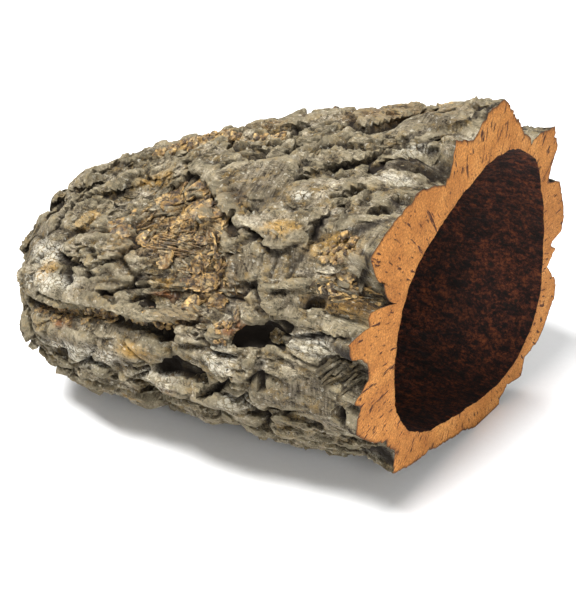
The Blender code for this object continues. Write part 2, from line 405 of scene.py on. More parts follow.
# Strewn pieces: how many, the middle's along and angle, the reach along and in degrees, and the limits
# of turn, roll, pitch, rise and size
AMBER_CLUSTERS = (
    (40, -6, 130, 26, 11, (0, 360), (-26, 26), (-18, 18), (-0.6, 1.0), (0.7, 1.3)),
    (40, 14, 142, 18, 10, (0, 360), (-28, 28), (-20, 20), (-0.4, 1.4), (0.6, 1.3)),
    (40, 33, 156, 13, 8, (0, 360), (-30, 30), (-22, 22), (-0.4, 1.6), (0.5, 1.1)),
    (18, 94, 155, 8, 4, (0, 360), (-26, 26), (-18, 18), (-0.6, 0.8), (0.4, 0.8)),
    (22, 101, 158, 8, 2.5, (-30, 30), (-30, 30), (-15, 15), (-1.2, 0.3), (0.5, 0.9)),
    (12, 51, 169, 4, 4, (0, 360), (-40, 40), (-30, 30), (-0.8, 0.8), (0.4, 0.7)),
    (30, 10, 171, 14, 3, (0, 360), (-30, 30), (-20, 20), (-1.4, 0.4), (0.35, 0.7)),
    (26, -34, 170, 20, 2.5, (0, 360), (-30, 30), (-20, 20), (-1.6, 0.2), (0.4, 0.8)),
    (30, -30, 40, 24, 9, (0, 360), (-26, 26), (-18, 18), (-0.4, 1.2), (0.6, 1.2)),
    (26, 50, 330, 22, 9, (0, 360), (-26, 26), (-18, 18), (-0.4, 1.2), (0.6, 1.1)),
    (22, -50, 320, 20, 9, (0, 360), (-26, 26), (-18, 18), (-0.4, 1.2), (0.6, 1.1)),
)
CRUMB_CLUSTERS = (
    (60, -26, 98, 24, 3, (0, 360), (-90, 90), (-90, 90), (0.2, 1.4), (0.6, 1.6)),
    (30, 12, 100, 12, 5, (0, 360), (-90, 90), (-90, 90), (0.2, 1.2), (0.6, 1.3)),
    (34, 92, 146, 9, 4, (0, 360), (-90, 90), (-90, 90), (0.2, 1.0), (0.5, 1.2)),
    (70, -34, 172, 26, 3, (0, 360), (-90, 90), (-90, 90), (-0.8, 0.8), (0.5, 1.4)),
    (36, 14, 172, 12, 3, (0, 360), (-90, 90), (-90, 90), (-0.6, 1.0), (0.5, 1.2)),
    (22, 49, 171, 5, 4, (0, 360), (-90, 90), (-90, 90), (-0.2, 1.0), (0.5, 1.1)),
    (60, -20, 40, 80, 30, (0, 360), (-90, 90), (-90, 90), (0.0, 1.0), (0.5, 1.3)),
    (60, -10, 330, 80, 30, (0, 360), (-90, 90), (-90, 90), (0.0, 1.0), (0.5, 1.3)),
)
STRAND_CLUSTERS = (
    (46, 8, 143, 6, 5, (2, 14), (0, 0), (-3, 3), (0.2, 1.5), (0.6, 1.0)),
)
SLAT_CLUSTERS = (
    (26, 100, 178.5, 8, 3.4, (-60, -40), (-30, 30), (-4, 10), (0.2, 2.0), (0.6, 1.0)),
    (8, 98, 158, 8, 2.5, (-14, 14), (-25, 25), (-8, 8), (-0.5, 1.2), (0.5, 0.9)),
)

# Loose pieces: how jagged a sheet or crumb and a slat are, how far a sheet's corners are drawn in and a crumb
# is rounded, as shares of their size, and how long a strand's wave is
JAG = 0.13
SLAT_JAG = 0.14
SHEET_CORNERS = 0.24
CRUMB_ROUND = 0.62
STRAND_WAVE = 9
# The seed of each kind of loose piece, so that it lies the same way every time
SCALE_SEED = 11
AMBER_SEED = 23
CRUMB_SEED = 31
STRAND_SEED = 43
SLAT_SEED = 57
# Scales lie between these places along the tube, and no loose piece reaches nearer to the saw than this
SCALES_ALONG = (-104, 106)
SAW_CLEARANCE = 0.2
# The slats are darkened with painted shade, as if they lay in the shade of their pocket
SLAT_SHADE = 0.45

# The camera that the photograph was taken with, found from the mouth's and the bark's outline
CAMERA_AT = (0.304344, -0.378339, 0.311704)
CAMERA_FORWARD = (-0.53520164, 0.69645517, -0.47802656)
CAMERA_RIGHT = (0.79291721, 0.60932938, 0.0)
CAMERA_LENS = 64.5
CAMERA_NEAR = 0.01
# The studio: soft lights by name, place, size, power and what they point at, all in metres and watts
SOFTBOXES = (
    ("overhead_softbox", (-0.06, -0.38, 0.92), 0.34, 24.5, (0, 0, 0.06)),
    ("front_softbox", (0.8, -0.6, 0.5), 0.45, 4.8, (0, 0, 0.07)),
    ("backdrop_softbox", (-0.8, 1.1, 1.0), 0.9, 26.0, (-0.9, 1.2, 0)),
)
SKY_STRENGTH = 0.27
FLOOR_REACH = 4.0


# Shapes in numbers

def ease(value):
    """0 below 0, 1 above 1 and a smooth step between."""
    t = np.clip(value, 0.0, 1.0)
    return t * t * (3 - 2 * t)


def through(table, along):
    """The table's other columns at places along the tube, on smooth curves through its rows."""
    rows = np.array(table, float)
    places, values = rows[:, 0], rows[:, 1:]
    slopes = np.gradient(values, places, axis=0)
    at = np.clip(along, places[0], places[-1])
    low = np.clip(np.searchsorted(places, at, side="right") - 1, 0, len(places) - 2)
    gap = (places[low + 1] - places[low])[..., None]
    t = (at - places[low])[..., None] / gap
    start = (1 + 2 * t) * (1 - t) ** 2 * values[low] + t * (1 - t) ** 2 * gap * slopes[low]
    end = t * t * (3 - 2 * t) * values[low + 1] - t * t * (1 - t) * gap * slopes[low + 1]
    return np.moveaxis(start + end, -1, 0)


def outline(points, degrees):
    """The distance that a (degrees, distance) outline has at these angles, going once round."""
    turned, distances = zip(*points)
    return np.interp(degrees, turned, distances, period=360)


def turn_between(degrees, middle):
    """How many degrees lie between two angles, from -180 to 180."""
    return (degrees - middle + 180) % 360 - 180


def sampled(field, places):
    """A noise field's value at every place of an array."""
    values = [field(place) for place in places.reshape(-1, 3).tolist()]
    return np.array(values).reshape(places.shape[:-1])


def stretched(places, along, across):
    """Places in a pattern whose forms are this long and this wide, in millimetres."""
    return places / np.array((along, across, across), float)


def layers(places, along, across, octaves, roughness=0.9):
    """Noise of several sizes on top of each other, about -1 to 1."""
    def field(place):
        return noise.fractal(place, roughness, 2.0, octaves)
    return sampled(field, stretched(places, along, across))


def plates(place, tilt, share):
    """For each place, the height of the plate that it is on and how deep in a crack it lies, 0 to 1."""
    flat = place.reshape(-1, 3)
    heights = np.empty(len(flat))
    cracks = np.empty(len(flat))
    for index, spot in enumerate(flat.tolist()):
        distances, centres = noise.voronoi(spot)
        heights[index] = noise.noise(centres[0] * 5.3) + tilt * (spot[0] - centres[0].x)
        cracks[index] = distances[1] - distances[0]
    shape = place.shape[:-1]
    return heights.reshape(shape), 1 - ease(cracks.reshape(shape) / share)


def facets(place, steepness):
    """For each place, how high it lies on its own flat chip of a surface broken into tilted chips."""
    flat = place.reshape(-1, 3)
    heights = np.empty(len(flat))
    for index, spot in enumerate(flat.tolist()):
        centre = noise.voronoi(spot)[1][0]
        tilt = noise.cell_vector(centre * 41.7)
        heights[index] = 0.5 * tilt.x + steepness * (Vector(spot) - centre).dot(tilt)
    return heights.reshape(place.shape[:-1])


def distance_to_path(along, degrees, path, girth):
    """How far places on the bark lie from a path over it, in millimetres."""
    nearest = np.full(degrees.shape, math.inf)
    for (x0, a0), (x1, a1) in zip(path, path[1:]):
        dx, dy = x1 - x0, (a1 - a0) * girth
        px, py = along - x0, turn_between(degrees, a0) * girth
        t = np.clip((px * dx + py * dy) / (dx * dx + dy * dy), 0.0, 1.0)
        nearest = np.minimum(nearest, np.hypot(px - t * dx, py - t * dy))
    return nearest


# The bark's grid: places along, angles, millimetres in a degree, places for the patterns, how ragged it is,
# and how far it is from the worn spot and from the saw, as shares
Bark = collections.namedtuple("Bark", "along degrees girth places ragged free off_saw")


def bark_grid():
    """The plain grid on which the bark's relief and markings are worked out."""
    along, degrees = np.meshgrid(
        np.linspace(-HALF, HALF, OUTSIDE_ROWS + 1), np.arange(AROUND) * 360 / AROUND, indexing="ij"
    )
    half_width, half_height, _, _ = through(SECTIONS, along)
    radius = (half_width + half_height) / 2
    girth = np.radians(1) * radius
    angle = np.radians(degrees)
    places = np.stack((along, radius * np.cos(angle), radius * np.sin(angle)), axis=-1)
    rest = np.hypot((along - REST_ALONG) / REST_LONG, turn_between(degrees, REST_ANGLE) * girth / REST_WIDE)
    free = ease((rest - REST_FLAT) / REST_FADE)
    off_saw = ease((HALF - along) / SAW_REACH)
    return Bark(along, degrees, girth, places, layers(places, *RAGGED, 3), free, off_saw)


def formed(lift, forms, bark):
    """The lift with single forms raised on it or cut into it."""
    for _, half_width, out, path in forms:
        reach = distance_to_path(bark.along, bark.degrees, path, bark.girth)
        share = 1 - ease((reach / half_width - FORM_WHOLE) / FORM_FADE)
        lift = lift + share * (out - FORM_LEVELS * lift)
    return lift


def blurred(grid, size):
    """A grid of the bark's heights, or of its points, softened over this many cells."""
    reach = int(math.ceil(2.5 * size))
    steps = np.arange(-reach, reach + 1)
    weights = np.exp(-0.5 * (steps / size) ** 2)
    weights /= weights.sum()
    soft = sum(weight * np.roll(grid, step, axis=1) for weight, step in zip(weights, steps))
    edge = [(reach, reach)] + [(0, 0)] * (grid.ndim - 1)
    padded = np.pad(soft, edge, mode="reflect", reflect_type="odd")
    starts = steps + reach
    return sum(weight * padded[start:start + len(grid)] for weight, start in zip(weights, starts))


def outward(points):
    """The unit normals of a grid of points that goes round the tube."""
    down = np.gradient(points, axis=0)
    turn = np.roll(points, -1, axis=1) - np.roll(points, 1, axis=1)
    normals = np.cross(turn, down)
    normals /= np.linalg.norm(normals, axis=-1, keepdims=True)
    middle = points.mean(axis=1, keepdims=True)
    inward = np.sum(normals * (points - middle), axis=-1).mean() < 0
    return -normals if inward else normals


def ring_points(table, edge, along, degrees, lift):
    """The points of a surface round the tube: its sections, drawn over to the sawn mouth's outline."""
    half_width, half_height, sideways, middle = through(table, along)
    angle = np.radians(degrees)
    body = (sideways + (half_width + lift) * np.cos(angle), middle + (half_height + lift) * np.sin(angle))
    reach = outline(edge, degrees)
    plain = sum(outline(edge, degrees + turn) for turn in PLAIN_TURNS) / len(PLAIN_TURNS)
    reach = plain + (reach - plain) * ease((along - HALF) / NOTCH_FADE + 1)
    mouth = (reach * np.cos(angle), MOUTH_MIDDLE + reach * np.sin(angle))
    share = ease((along - HALF) / MOUTH_FADE + 1)
    across, up = ((1 - share) * b + share * m for b, m in zip(body, mouth))
    return np.stack((along, across + SIDEWAYS, up - WORN), axis=-1)


def broken_back(along, degrees):
    """How far the bark's and the hollow's places near the far end are moved towards the mouth."""
    share = 1 - ease((np.abs(turn_between(degrees, BROKEN_ANGLE)) - BROKEN_FULL) / BROKEN_FADE)
    return BROKEN_BACK * share * ease((BROKEN_FROM - along) / (HALF + BROKEN_FROM))


def solid_relief(bark):
    """The solid's own relief: ridges, plates with cracks between them, single forms and the worn spot."""
    ridge = stretched(bark.places, RIDGE_LONG, RIDGE_WIDE)
    crest = 1 - RIDGE_SHARP * np.abs(sampled(noise.noise, ridge))
    finer = sampled(noise.noise, ridge * RIDGE_FINER + np.array(RIDGE_ELSEWHERE))
    ridges = RIDGE_SHARES[0] * crest + RIDGE_SHARES[1] * finer
    bend = PLATE_BEND * sampled(noise.noise, bark.places / PLATE_BEND_LONG)
    bent = stretched(bark.places, PLATE_LONG, PLATE_WIDE) + bend[..., None] * np.array((1, 1, -1))
    height, crack = plates(bent, PLATE_TILT, CRACK_SHARE)
    lift = RIDGE_HIGH * ridges + PLATE_STEP * height - CRACK_DEEP * crack
    lift = formed(lift, FORMS, bark) * bark.free
    return np.where(lift < CAVE_FROM, CAVE_FROM + CAVE_KEEP * (lift - CAVE_FROM), lift)


def patch_marks(bark):
    """How strongly each kind of patch covers the bark, from 0 to 1."""
    marks = {kind: np.zeros_like(bark.along) for kind in PATCH_KINDS}
    for kind, half_long, half_wide, (along, degrees) in PATCHES:
        across = turn_between(bark.degrees, degrees) * bark.girth
        reach = np.hypot((bark.along - along) / half_long, across / half_wide)
        share = 1 - ease((reach + PATCH_RAGGED * bark.ragged - PATCH_WHOLE) / PATCH_FADE)
        marks[kind] = np.maximum(marks[kind], share)
    unseen = ease((np.abs(turn_between(bark.degrees, SEEN_ANGLE)) - SEEN_REACH) / SEEN_FADE)
    for kind, elsewhere, long, wide, end, start in UNSEEN_PATCHES:
        pattern = end * layers(bark.places + elsewhere, long, wide, 2)
        marks[kind] = np.maximum(marks[kind], unseen * ease((pattern - start) / UNSEEN_FADE))
    return marks


def roughness(bark, marks):
    """How rough the bark is, from 0 on the worn spot to 1 between the smooth plates."""
    calm = ease((layers(bark.places + 800, *CALM, 2) + 0.15) / 0.35)
    far_end = (1 - FAR_END_LOSS) + FAR_END_LOSS * ease((bark.along - FAR_END_FROM) / FAR_END_FADE)
    rough = (1 - SMOOTH_LOSS * marks["smooth"]) * (1 - CALM_LOSS * calm) * far_end * bark.free
    return np.maximum(rough, AMBER_ROUGH * marks["amber"] * bark.free)


def broken_layers(bark, lift, rough):
    """How far the bark's thin layers, broken off in steps round tilted chips, lie over the lift."""
    chips = facets(stretched(bark.places, *CHIP) + 0.25 * bark.ragged[..., None], CHIP_TILT)
    swell = lift + (SWELL_HIGH * layers(bark.places, *SWELL, 3, 0.75) + CHIP_HIGH * chips) * rough
    steps = swell / LAYER
    part = steps - np.floor(steps)
    stepped = np.floor(steps) + TREAD_SLOPE * part + (1 - TREAD_SLOPE) * ease((part - DROP_FROM) / DROP_WIDE)
    return LAYER * (stepped - 0.5) - lift


def fine_relief(bark, lift, marks):
    """The relief that only the looks have: broken layers, small plates, strata, crumbs, cracks and fibres."""
    places = bark.places
    bend = 0.3 * bark.ragged[..., None]
    rough = roughness(bark, marks)
    layer = broken_layers(bark, lift, rough)
    plate, gap = plates(stretched(places, *SMALL_PLATE) + bend, SMALL_PLATE_TILT, GAP_SHARE)
    strata = 1 - 2 * np.abs(layers(places + 60, *STRATUM, 3, 0.8))
    crumbs = facets(stretched(places + 35, *CRUMB), CRUMB_TILT)
    clefts = ease((sampled(noise.noise, stretched(places + 20, *CLEFT) + bend) - 0.26) / 0.16)
    slits = 1 - ease(np.abs(sampled(noise.noise, stretched(places + 90, *SLIT))) / 0.09)
    where = ease((sampled(noise.noise, places / SLIT_GROUP + 40) + 0.1) / 0.3)

    fine = rough * (layer + SMALL_PLATE_HIGH * plate - GAP_DEEP * gap + STRATUM_HIGH * strata)
    fine += (CRUMB_HIGH[0] + CRUMB_HIGH[1] * rough) * crumbs
    fine -= (CLEFT_DEEP[0] + CLEFT_DEEP[1] * rough) * clefts * bark.free
    fine -= SLIT_DEEP * where * slits * bark.free
    fine += FIBRE_HIGH * layers(places, *FIBRE, 2) * bark.free
    fine = formed(lift + fine, DETAILS, bark) - lift
    return fine * ((1 - SAW_LOSS) + SAW_LOSS * bark.off_saw)


def overhung(bark, base, lift, fine):
    """The bark's points with the fine relief on them. What stands out leans over what lies beside it."""
    soft_base = blurred(base, NORMAL_BLUR)
    normals = outward(soft_base)
    lengthwise = np.gradient(soft_base, axis=0)
    lengthwise /= np.linalg.norm(lengthwise, axis=-1, keepdims=True)
    crosswise = np.cross(lengthwise, normals)
    around = (np.roll(soft_base, -1, axis=1) - np.roll(soft_base, 1, axis=1)) / 2
    crosswise *= np.sign(np.sum(crosswise * around, axis=-1, keepdims=True))

    total = lift + fine
    soft = blurred(total, SLOPE_BLUR)
    downhill = np.gradient(soft, axis=0)
    sidehill = (np.roll(soft, -1, axis=1) - np.roll(soft, 1, axis=1)) / 2
    top = np.clip((total - blurred(total, CAVITY_BLUR)) / OVERHANG_HIGH, -1, 1)
    lean = OVERHANG * top * bark.off_saw * bark.free
    points = base + normals * fine[..., None]
    points -= lengthwise * (lean * np.clip(downhill, -OVERHANG_SLOPE, OVERHANG_SLOPE))[..., None]
    points -= crosswise * (lean * np.clip(sidehill, -OVERHANG_SLOPE, OVERHANG_SLOPE))[..., None]
    return points


@functools.cache
def bark_surface():
    """The bark's outside: a grid of points in millimetres, and a grid for each marking, painted cavity shade
    among them.
    """
    bark = bark_grid()
    lift = solid_relief(bark)
    marks = patch_marks(bark)
    fine = fine_relief(bark, lift, marks)
    base = ring_points(SECTIONS, RIM, bark.along, bark.degrees, lift)
    points = overhung(bark, base, lift, fine)
    points[..., 0] = np.clip(points[..., 0], -HALF, HALF)
    points[-1, :, 0] = HALF
    points[..., 0] += broken_back(bark.along, bark.degrees)
    points = np.clip(points, CAD_LOW, CAD_HIGH)

    total = lift + fine
    # painted shade in the relief's hollows, darker the deeper they lie below their surroundings
    marks["cavity_shade"] = np.clip((blurred(total, CAVITY_BLUR) - total - CAVITY_FROM) / CAVITY_FADE, 0, 1)
    marks["cavity_shade"] *= 1 - OCHRE_LIGHTS * marks["ochre"]
    marks["edge"] = np.clip((total - blurred(total, EDGE_BLUR)) / EDGE_FADE, 0, 1)
    return points, marks


@functools.cache
def hollow_surface():
    """The hollow's wall: a grid of points in millimetres."""
    along, degrees = np.meshgrid(
        np.linspace(HALF, -HALF, INSIDE_ROWS + 1), np.arange(AROUND) * 360 / AROUND, indexing="ij"
    )
    angle = np.radians(degrees)
    ring = np.stack((np.cos(angle), np.sin(angle)), axis=-1)
    waves = np.concatenate((along[..., None] / HOLLOW_WAVE_LONG, ring * HOLLOW_WAVE_TURNS), axis=-1)
    places = np.concatenate((along[..., None], HOLLOW_RADIUS * ring), axis=-1)
    grain = HOLLOW_GRAIN_HIGH * layers(places, *HOLLOW_GRAIN, 4)
    fibres = HOLLOW_FIBRE_HIGH * sampled(noise.noise, stretched(places, *HOLLOW_FIBRE))
    lift = HOLLOW_WAVE_HIGH * sampled(noise.noise, waves) + (grain + fibres)
    points = ring_points(HOLLOW, BORE, along, degrees, lift)
    points[..., 0] += broken_back(along, degrees)
    fray = sum(far * sampled(noise.noise, places[0] / long) for long, far in FRAYS)
    points[0, :, 1:] += fray[:, None] * ring[0]
    return points


@functools.cache
def soft_bark():
    """The bark's points and normals, softened over its finest relief."""
    points, _ = bark_surface()
    return blurred(points, LAID_BLUR), outward(blurred(points, LAID_NORMAL_BLUR))


def bark_at(along, degrees):
    """The softened bark's point and normal at places, in millimetres."""
    row = np.clip((np.asarray(along) + HALF) / LENGTH * OUTSIDE_ROWS, 0, OUTSIDE_ROWS - 1e-6)
    column = np.asarray(degrees) / 360 * AROUND
    r0 = np.floor(row).astype(int)
    c0 = np.floor(column).astype(int)
    dr = (row - r0)[..., None]
    dc = (column - c0)[..., None]
    found = []
    for grid in soft_bark():
        low = grid[r0, c0 % AROUND] * (1 - dc) + grid[r0, (c0 + 1) % AROUND] * dc
        high = grid[r0 + 1, c0 % AROUND] * (1 - dc) + grid[r0 + 1, (c0 + 1) % AROUND] * dc
        found.append(low * (1 - dr) + high * dr)
    return found


# Materials

def linear(code):
    """A colour in linear light from its sRGB hex code."""
    parts = [int(code[start:start + 2], 16) / 255 for start in (1, 3, 5)]
    return tuple(p / 12.92 if p <= 0.04045 else ((p + 0.055) / 1.055) ** 2.4 for p in parts) + (1.0,)


def per(size):
    """The scale of a pattern whose forms are this many millimetres across."""
    return 1 / (size * MM)


def grey(level):
    """A neutral tone, which also serves as a share."""
    return (level, level, level, 1.0)


def add_node(tree, kind, inputs=(), output=0, ramp=(), **settings):
    """Adds a node with its settings, its inputs' values or links and its ramp's stops. Gives an output."""
    node = tree.nodes.new("ShaderNode" + kind)
    for name, value in settings.items():
        setattr(node, name, value)
    for key, value in dict(inputs).items():
        if isinstance(value, bpy.types.NodeSocket):
            tree.links.new(value, node.inputs[key])
        else:
            node.inputs[key].default_value = value
    if ramp:
        stops = node.color_ramp.elements
        while len(stops) < len(ramp):
            stops.new(0.5)
        for stop, (place, tone) in zip(stops, ramp):
            stop.position = place
            stop.color = grey(tone) if isinstance(tone, float) else tone
    return node.outputs[output]


def new_material(name):
    """An empty node material, a way to add nodes to it, its shader and its object coordinates."""
    material = bpy.data.materials.new(name)
    material.use_nodes = True
    add = functools.partial(add_node, material.node_tree)
    return material, add, material.node_tree.nodes["Principled BSDF"], add("TexCoord", output="Object")


# A mixer's sockets for colours share their names with those for numbers, so they go by their places
MIX_SHARE, MIX_UNDER, MIX_OVER, MIX_RESULT = 0, 6, 7, 2


def painted(add, colour, *coats):
    """A colour under coats: each has a share, or several to multiply, its own colour and a way to mix."""
    for shares, coat, way in coats:
        share, *others = shares if isinstance(shares, tuple) else (shares,)
        for other in others:
            share = add("Math", {0: share, 1: other}, operation="MULTIPLY")
        inputs = {MIX_SHARE: share, MIX_UNDER: colour, MIX_OVER: coat}
        colour = add("Mix", inputs, MIX_RESULT, data_type="RGBA", blend_type=way)
    return colour


def finished(add, shader, colour, height, strength, depth, roughness, specular=0.5):
    """Gives a shader its colour, its bumps, so many millimetres deep, and how matt it is."""
    normal = add("Bump", {"Height": height, "Strength": strength, "Distance": depth * MM})
    for name, socket in (("Base Color", colour), ("Normal", normal)):
        shader.id_data.links.new(socket, shader.inputs[name])
    shader.inputs["Roughness"].default_value = roughness
    shader.inputs["Specular IOR Level"].default_value = specular


# The bark's patterns: name, the way it runs, size in millimetres, detail and roughness
BARK_PATTERNS = (
    ("mottle", "plain", 13, 12.0, 0.8),
    ("drift", "plain", 34, 3.0, 0.6),
    ("run", "lengthwise", 1.1, 4.0, 0.7),
    ("grain", "plain", 0.8, 3.0, 0.7),
    ("fibre", "across", 1.3, 5.0, 0.75),
    ("crumble", "plain", 6, 9.0, 0.78),
    ("sheets", "lengthwise", 5, 6.0, 0.62),
    ("pits", "plain", 2.3, 3.0, 0.6),
    ("thread", "lengthwise", 3.4, 3.0, 0.7),
)
# How much of the sheets' pattern lies between one broken step and the next
LEDGE = 0.055
# The crusts' little cells, and how far and how often their cracks wander, in millimetres
CRUST_CELL = 2.8
CRUST_WANDER = 3


def bark_material(colours):
    """Weathered cork bark: dry and matt, split into grey layers with ochre breaks, crusts and dark cracks,
    with painted shade in its hollows and painted shadow under its steps.
    """
    material, add, shader, place = new_material("weathered_cork_bark")
    ways = {
        "plain": place,
        "lengthwise": add("Mapping", {"Vector": place, "Scale": (0.16, 1, 1)}),
        "across": add("Mapping", {"Vector": place, "Scale": (1, 0.13, 0.13)}),
    }
    field = {}
    for name, way, size, detail, rough in BARK_PATTERNS:
        inputs = {"Vector": ways[way], "Scale": per(size), "Detail": detail, "Roughness": rough}
        field[name] = add("TexNoise", inputs)
    for kind in PATCH_KINDS + ("cavity_shade", "edge"):
        field[kind] = add("Attribute", output="Fac", attribute_name=kind)

    # grey layers, mottled down to single grains
    grey_layers = (
        (0.38, colours.crevice),
        (0.45, colours.bark_dark),
        (0.51, colours.bark_middle),
        (0.57, colours.bark_light),
        (0.65, colours.plate_pale),
    )
    green = add("ValToRGB", {"Fac": field["drift"]}, ramp=((0.42, 0.0), (0.64, 0.4)))
    runs = add("ValToRGB", {"Fac": field["run"]}, ramp=((0.36, 0.2), (0.64, 0.82)))
    grains = add("ValToRGB", {"Fac": field["grain"]}, ramp=((0.38, 0.2), (0.62, 0.8)))
    colour = painted(
        add,
        add("ValToRGB", {"Fac": field["mottle"]}, ramp=grey_layers),
        (green, colours.bark_green, "SOFT_LIGHT"),
        (0.55, runs, "OVERLAY"),
        (0.6, grains, "OVERLAY"),
    )

    # smooth plates with fibres across them, ochre and brown where layers broke off, amber where it is torn
    plate_tones = (
        (0.36, colours.crevice),
        (0.43, colours.bark_dark),
        (0.5, colours.bark_middle),
        (0.66, colours.bark_light),
    )
    brown_tones = ((0.36, colours.crevice), (0.5, colours.brown), (0.62, colours.ochre_dull))
    amber_tones = ((0.45, colours.amber_dark), (0.56, colours.amber), (0.68, colours.amber_light))
    old_breaks = add("ValToRGB", {"Fac": field["crumble"]}, ramp=((0.51, 0.0), (0.61, 0.7)))
    patchy = add("ValToRGB", {"Fac": field["crumble"]}, ramp=((0.36, 0.0), (0.52, 1.0)))
    colour = painted(
        add,
        colour,
        ((field["smooth"], 0.55), add("ValToRGB", {"Fac": field["fibre"]}, ramp=plate_tones), "MIX"),
        (old_breaks, colours.ochre_dull, "MIX"),
        ((field["ochre"], patchy, 0.8), colours.ochre, "MIX"),
        ((field["brown"], 0.85), add("ValToRGB", {"Fac": field["run"]}, ramp=brown_tones), "MIX"),
        ((field["amber"], 0.85), add("ValToRGB", {"Fac": field["crumble"]}, ramp=amber_tones), "MIX"),
    )

    # pale crusts, cracked into little cells
    wander = add("TexNoise", {"Vector": place, "Scale": per(CRUST_WANDER), "Detail": 2.0}, "Color")
    warped = add("VectorMath", {0: wander, 1: (CRUST_WANDER * MM,) * 3, 2: place}, operation="MULTIPLY_ADD")
    inputs = {"Vector": warped, "Scale": per(CRUST_CELL)}
    cells = add("TexVoronoi", inputs, "Distance", feature="DISTANCE_TO_EDGE")
    crust = add("ValToRGB", {"Fac": cells}, ramp=((0.03, 0.0), (0.12, 1.0)))
    dusty = add("ValToRGB", {"Fac": field["crumble"]}, ramp=((0.4, 0.25), (0.55, 1.0)))

    # thin layers broken off in steps, pale along a step, with painted shadow under it
    ledge = add("Math", {0: field["sheets"], 1: 1 / LEDGE}, operation="MULTIPLY")
    ledge = add("Math", {0: ledge}, operation="FRACT")
    brink = add("ValToRGB", {"Fac": ledge}, ramp=((0.0, 0.4), (0.16, 0.0)))
    under = add("ValToRGB", {"Fac": ledge}, ramp=((0.8, 0.0), (0.96, 0.7)))
    rough = add("ValToRGB", {"Fac": field["smooth"]}, ramp=((0.0, 1.0), (1.0, 0.35)))

    # dark pits and pale flecks of single cells, worn edges, and cracks that are nearly black
    pits = add("ValToRGB", {"Fac": field["pits"]}, ramp=((0.58, 0.0), (0.64, 0.9)))
    flecks = add("ValToRGB", {"Fac": field["pits"]}, ramp=((0.33, 0.4), (0.39, 0.0)))
    hairline = add("ValToRGB", {"Fac": field["thread"]}, ramp=((0.478, 0.0), (0.5, 0.8), (0.522, 0.0)))
    here_and_there = add("ValToRGB", {"Fac": field["drift"]}, ramp=((0.4, 0.15), (0.55, 1.0)))
    colour = painted(
        add,
        colour,
        ((field["lichen"], crust, dusty, 0.85), colours.crust, "MIX"),
        ((brink, rough), colours.edge, "MIX"),
        # painted shadow at the foot of each step
        ((under, rough), colours.crevice, "MIX"),
        (pits, colours.crevice, "MIX"),
        (flecks, colours.crust, "MIX"),
        ((field["edge"], 0.35), colours.edge, "MIX"),
        ((field["rust"], patchy, 0.8), colours.rust, "MIX"),
        ((hairline, here_and_there), colours.crevice, "MIX"),
        # painted shade in the bark's hollows
        (field["cavity_shade"], colours.crevice, "MIX"),
    )

    # grains, hairlines and steps to feel
    relief = add("Math", {0: field["run"], 1: 0.35, 2: field["mottle"]}, operation="MULTIPLY_ADD")
    relief = add("Math", {0: hairline, 1: -0.12, 2: relief}, operation="MULTIPLY_ADD")
    steps = add("Math", {0: field["sheets"], 1: LEDGE}, operation="SNAP")
    relief = add("Math", {0: steps, 1: 1.6, 2: relief}, operation="MULTIPLY_ADD")
    finished(add, shader, colour, relief, strength=0.95, depth=2.8, roughness=0.92, specular=0.25)
    return material


def sawn_material(colours):
    """Sawn cork: warm orange and finely grained, with short brown lenticels that run through the bark."""
    material, add, shader, place = new_material("sawn_cork")
    growth = add("Attribute", output="Vector", attribute_name="growth")
    skin = add("Attribute", output="Fac", attribute_name="skin")
    grain = add("TexNoise", {"Vector": place, "Scale": per(0.9), "Detail": 4.0, "Roughness": 0.7})
    drift = add("TexNoise", {"Vector": place, "Scale": per(13), "Detail": 3.0})
    tones = ((0.3, colours.sawn_dark), (0.55, colours.sawn), (0.8, colours.sawn_light))
    fine = add("ValToRGB", {"Fac": grain}, ramp=((0.34, 0.2), (0.66, 0.75)))

    # lenticels run from the bark towards the hollow, with round pores between them
    run = add("Mapping", {"Vector": growth, "Scale": (1, 1, 0.28)})
    dashes = add("TexNoise", {"Vector": run, "Scale": per(1.8), "Detail": 2.0})
    dash = add("ValToRGB", {"Fac": dashes}, ramp=((0.6, 0.0), (0.67, 1.0)))
    pores = add("TexVoronoi", {"Vector": place, "Scale": per(4.5)}, "Distance", feature="F1")
    pore = add("ValToRGB", {"Fac": pores}, ramp=((0.07, 1.0), (0.12, 0.0)))
    marks = painted(add, dash, (1.0, pore, "LIGHTEN"))
    rim = add("ValToRGB", {"Fac": skin}, ramp=((0.0, 1.0), (0.16, 0.0)))
    colour = painted(
        add,
        add("ValToRGB", {"Fac": drift}, ramp=tones),
        (0.85, fine, "OVERLAY"),
        (marks, colours.lenticel, "MIX"),
        (rim, colours.lenticel, "MIX"),
    )
    relief = add("Math", {0: marks, 1: -1.6, 2: grain}, operation="MULTIPLY_ADD")
    finished(add, shader, colour, relief, strength=0.6, depth=0.4, roughness=0.85, specular=0.3)
    return material


